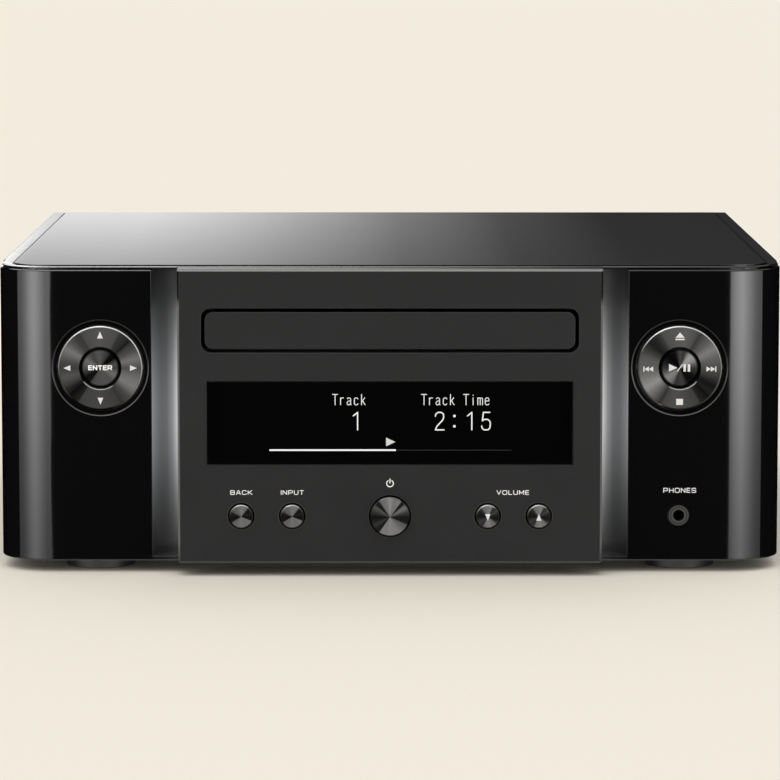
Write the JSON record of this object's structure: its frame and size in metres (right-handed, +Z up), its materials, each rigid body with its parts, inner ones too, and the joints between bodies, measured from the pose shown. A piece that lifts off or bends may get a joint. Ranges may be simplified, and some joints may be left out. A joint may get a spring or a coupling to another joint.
{
  "type": "cd receiver",
  "caption": "Compact disc receiver with a sliding disc tray, display, round sprung buttons, four-way keys, a headphone socket and rear terminals.",
  "frame": {"origin": "centre of the footprint, at the height of the surface that the feet stand on", "axes": "+X to the right seen from the front, +Y to the back, +Z up"},
  "size_m": [0.2824, 0.303, 0.111],
  "materials": {
    "case_steel": "fine textured dark paint",
    "plain_steel": "zinc plated sheet",
    "gloss_black": "polished black",
    "smoked_acrylic": "polished, smoked",
    "panel_grey": "satin anodised, dark grey",
    "clear_guide": "clear moulded",
    "window": "polished smoked window",
    "spun_metal": "spun, dark anodised",
    "black_plastic": "moulded",
    "grey_plastic": "moulded",
    "white_plastic": "acetal",
    "board": "solder resist",
    "rubber": "moulded",
    "bright_metal": "nickel plated",
    "gold": "plated",
    "aluminium": "extruded",
    "steel_rod": "ground",
    "screw_black": "black zinc"
  },
  "bodies": {
    "root": {"bottom_chassis": "plain_steel", "top_cover": "case_steel", "top_plate": "smoked_acrylic", "rear_panel": "case_steel", "front_frame": "black_plastic", "left_wing": "gloss_black", "right_wing": "gloss_black", "centre_panel": "panel_grey", "light_guides": "clear_guide", "display_window": "window", "display_module": "black_plastic", "key_boards": "board", "tact_switches": "grey_plastic", "button_holder": "black_plastic", "phones_jack": "black_plastic", "loading_belt": "rubber", "loading_motor": "plain_steel", "loader_frame": "black_plastic", "loader_brackets": "plain_steel", "clamp_bridge": "plain_steel", "main_board": "board", "power_board": "board", "amp_board": "board", "heat_sink": "aluminium", "tuner_module": "bright_metal", "line_sockets": "gold", "speaker_terminal_block": "black_plastic", "speaker_posts": "gold", "ac_inlet": "black_plastic", "feet": "black_plastic", "foot_pads": "rubber", "case_screws": "screw_black"},
    "tray": {"disc_tray": "black_plastic", "tray_bezel": "panel_grey"},
    "tray_gear": {"tray_gear": "white_plastic"},
    "drive_pulley": {"drive_pulley": "white_plastic"},
    "motor_pulley": {"motor_pulley": "white_plastic"},
    "traverse": {"traverse_frame": "grey_plastic", "traverse_motors": "plain_steel", "guide_rods": "steel_rod"},
    "turntable": {"turntable": "black_plastic"},
    "clamper": {"disc_clamper": "black_plastic"},
    "sled": {"pickup_sled": "grey_plastic"},
    "lead_screw": {"lead_screw": "steel_rod"},
    "lift_cam": {"lift_cam": "white_plastic"},
    "cursor_gimbal": {"cursor_gimbal": "white_plastic"},
    "cursor_ring": {"cursor_ring": "spun_metal"},
    "enter_button": {"enter_button": "spun_metal"},
    "playback_gimbal": {"playback_gimbal": "white_plastic"},
    "playback_ring": {"playback_ring": "spun_metal"},
    "play_button": {"play_button": "spun_metal"},
    "power_button": {"power_button": "spun_metal"},
    "back_button": {"back_button": "spun_metal"},
    "input_button": {"input_button": "spun_metal"},
    "volume_down_button": {"volume_down_button": "spun_metal"},
    "volume_up_button": {"volume_up_button": "spun_metal"},
    "speaker_cap_1": {"speaker_cap_1": "black_plastic"},
    "speaker_cap_2": {"speaker_cap_2": "black_plastic"},
    "speaker_cap_3": {"speaker_cap_3": "black_plastic"},
    "speaker_cap_4": {"speaker_cap_4": "black_plastic"}
  },
  "joints": [
    {"name": "tray_slide", "type": "slide", "parent": "root", "child": "tray", "axis": [0, -1, 0], "range_m": [0, 0.135]},
    {"name": "tray_gear_spin", "type": "hinge", "parent": "root", "child": "tray_gear", "pos_m": [-0.042, -0.111, 0.0811], "axis": [0, 0, 1], "range_deg": [0, 774]},
    {"name": "drive_pulley_spin", "type": "hinge", "parent": "root", "child": "drive_pulley", "pos_m": [-0.026, -0.111, 0.0695], "axis": [0, 0, 1], "range_deg": [-1290, 0]},
    {"name": "motor_pulley_spin", "type": "hinge", "parent": "root", "child": "motor_pulley", "pos_m": [0.048, -0.111, 0.0695], "axis": [0, 0, 1], "range_deg": [-3684, 0]},
    {"name": "traverse_tilt", "type": "hinge", "parent": "root", "child": "traverse", "pos_m": [0, 0.013, 0.074], "axis": [1, 0, 0], "range_deg": [0, 4.5]},
    {"name": "lift_cam_slide", "type": "slide", "parent": "root", "child": "lift_cam", "axis": [1, 0, 0], "range_m": [0, 0.02401]},
    {"name": "turntable_spin", "type": "hinge", "parent": "traverse", "child": "turntable", "pos_m": [0, -0.079, 0.091], "axis": [0, 0, 1], "continuous": true},
    {"name": "clamper_spin", "type": "hinge", "parent": "root", "child": "clamper", "pos_m": [0, -0.079, 0.0916], "axis": [0, 0, 1], "continuous": true},
    {"name": "sled_slide", "type": "slide", "parent": "traverse", "child": "sled", "axis": [0, 1, 0], "range_m": [0, 0.036]},
    {"name": "lead_screw_spin", "type": "hinge", "parent": "traverse", "child": "lead_screw", "pos_m": [-0.032, -0.0703, 0.0775], "axis": [0, 1, 0], "range_deg": [0, 4320]},
    {"name": "cursor_rock", "type": "hinge", "parent": "root", "child": "cursor_gimbal", "pos_m": [-0.104, -0.13435, 0.0742], "axis": [1, 0, 0], "range_deg": [-2, 2], "stiffness_Nm_per_rad": 0.45},
    {"name": "cursor_sway", "type": "hinge", "parent": "cursor_gimbal", "child": "cursor_ring", "pos_m": [-0.104, -0.13435, 0.0742], "axis": [0, 0, 1], "range_deg": [-2, 2], "stiffness_Nm_per_rad": 0.45},
    {"name": "enter_press", "type": "slide", "parent": "root", "child": "enter_button", "axis": [0, 1, 0], "range_m": [0, 0.0006], "stiffness_N_per_m": 1500},
    {"name": "playback_rock", "type": "hinge", "parent": "root", "child": "playback_gimbal", "pos_m": [0.104, -0.13435, 0.0742], "axis": [1, 0, 0], "range_deg": [-2, 2], "stiffness_Nm_per_rad": 0.45},
    {"name": "playback_sway", "type": "hinge", "parent": "playback_gimbal", "child": "playback_ring", "pos_m": [0.104, -0.13435, 0.0742], "axis": [0, 0, 1], "range_deg": [-2, 2], "stiffness_Nm_per_rad": 0.45},
    {"name": "play_press", "type": "slide", "parent": "root", "child": "play_button", "axis": [0, 1, 0], "range_m": [0, 0.0006], "stiffness_N_per_m": 1500},
    {"name": "power_press", "type": "slide", "parent": "root", "child": "power_button", "axis": [0, 1, 0], "range_m": [0, 0.0006], "stiffness_N_per_m": 1500},
    {"name": "back_press", "type": "slide", "parent": "root", "child": "back_button", "axis": [0, 1, 0], "range_m": [0, 0.0006], "stiffness_N_per_m": 1500},
    {"name": "input_press", "type": "slide", "parent": "root", "child": "input_button", "axis": [0, 1, 0], "range_m": [0, 0.0006], "stiffness_N_per_m": 1500},
    {"name": "volume_down_press", "type": "slide", "parent": "root", "child": "volume_down_button", "axis": [0, 1, 0], "range_m": [0, 0.0006], "stiffness_N_per_m": 1500},
    {"name": "volume_up_press", "type": "slide", "parent": "root", "child": "volume_up_button", "axis": [0, 1, 0], "range_m": [0, 0.0006], "stiffness_N_per_m": 1500},
    {"name": "speaker_cap_1_turn", "type": "hinge", "parent": "root", "child": "speaker_cap_1", "pos_m": [0.0612, 0.139, 0.034], "axis": [0, 1, 0], "range_deg": [0, 1080]},
    {"name": "speaker_cap_2_turn", "type": "hinge", "parent": "root", "child": "speaker_cap_2", "pos_m": [0.0802, 0.139, 0.034], "axis": [0, 1, 0], "range_deg": [0, 1080]},
    {"name": "speaker_cap_3_turn", "type": "hinge", "parent": "root", "child": "speaker_cap_3", "pos_m": [0.0992, 0.139, 0.034], "axis": [0, 1, 0], "range_deg": [0, 1080]},
    {"name": "speaker_cap_4_turn", "type": "hinge", "parent": "root", "child": "speaker_cap_4", "pos_m": [0.1182, 0.139, 0.034], "axis": [0, 1, 0], "range_deg": [0, 1080]}
  ],
  "couplings": [
    {"joint": "tray_gear_spin", "follows": "tray_slide", "rad_per_m": 100},
    {"joint": "drive_pulley_spin", "follows": "tray_slide", "rad_per_m": -166.67},
    {"joint": "motor_pulley_spin", "follows": "tray_slide", "rad_per_m": -476.19},
    {"joint": "lift_cam_slide", "follows": "traverse_tilt", "m_per_rad": 0.30558},
    {"joint": "clamper_spin", "follows": "turntable_spin", "ratio": 1},
    {"joint": "lead_screw_spin", "follows": "sled_slide", "rad_per_m": 2094.4}
  ]
}
